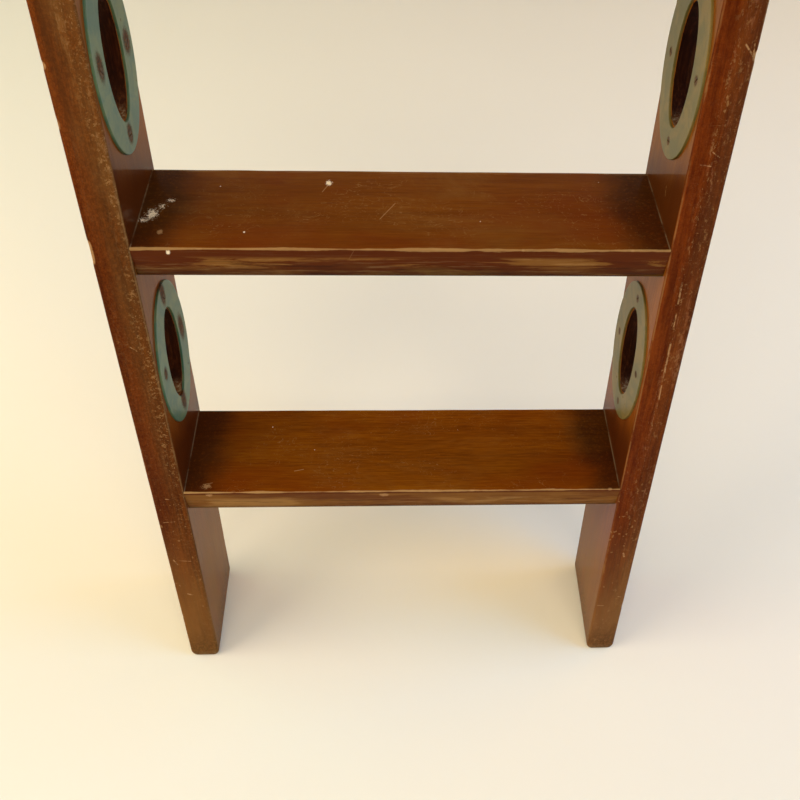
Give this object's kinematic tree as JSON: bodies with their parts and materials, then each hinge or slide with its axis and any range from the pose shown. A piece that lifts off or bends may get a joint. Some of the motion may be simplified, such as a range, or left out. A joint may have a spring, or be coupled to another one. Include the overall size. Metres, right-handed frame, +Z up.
{
  "type": "ladder shelf",
  "caption": "Varnished hardwood ladder shelf that leans on a wall, with flat treads housed between its stiles and oval hand-holds trimmed with painted metal plates.",
  "frame": {"origin": "on the floor, midway between the stiles and midway between the front of the feet and the wall", "axes": "+X to the right seen from the front, +Y towards the wall, +Z up"},
  "size_m": [0.504, 0.3598, 1.19],
  "materials": {
    "stile_wood": "old gloss varnish, scratched, worn pale on the edges",
    "tread_wood": "old satin varnish, rubbed and dusty, worn pale on the front edge",
    "plug_wood": "varnished end-matched plug",
    "plate_paint": "old grey-green paint, eggshell, stained with rust at the screws",
    "plate_screw": "rusted and partly painted",
    "tread_screw": "plain, hidden in the wood"
  },
  "bodies": {
    "root": {"left_stile": "stile_wood", "right_stile": "stile_wood", "tread_1": "tread_wood", "tread_2": "tread_wood", "tread_3": "tread_wood", "tread_4": "tread_wood", "left_trim_plate_1": "plate_paint", "right_trim_plate_1": "plate_paint", "left_plate_screws_1": "plate_screw", "right_plate_screws_1": "plate_screw", "left_trim_plate_2": "plate_paint", "right_trim_plate_2": "plate_paint", "left_plate_screws_2": "plate_screw", "right_plate_screws_2": "plate_screw", "left_trim_plate_3": "plate_paint", "right_trim_plate_3": "plate_paint", "left_plate_screws_3": "plate_screw", "right_plate_screws_3": "plate_screw", "left_tread_screws_1": "tread_screw", "right_tread_screws_1": "tread_screw", "left_screw_plugs_1": "plug_wood", "right_screw_plugs_1": "plug_wood", "left_tread_screws_2": "tread_screw", "right_tread_screws_2": "tread_screw", "left_screw_plugs_2": "plug_wood", "right_screw_plugs_2": "plug_wood", "left_tread_screws_3": "tread_screw", "right_tread_screws_3": "tread_screw", "left_screw_plugs_3": "plug_wood", "right_screw_plugs_3": "plug_wood", "left_tread_screws_4": "tread_screw", "right_tread_screws_4": "tread_screw", "left_screw_plugs_4": "plug_wood", "right_screw_plugs_4": "plug_wood"}
  },
  "joints": []
}
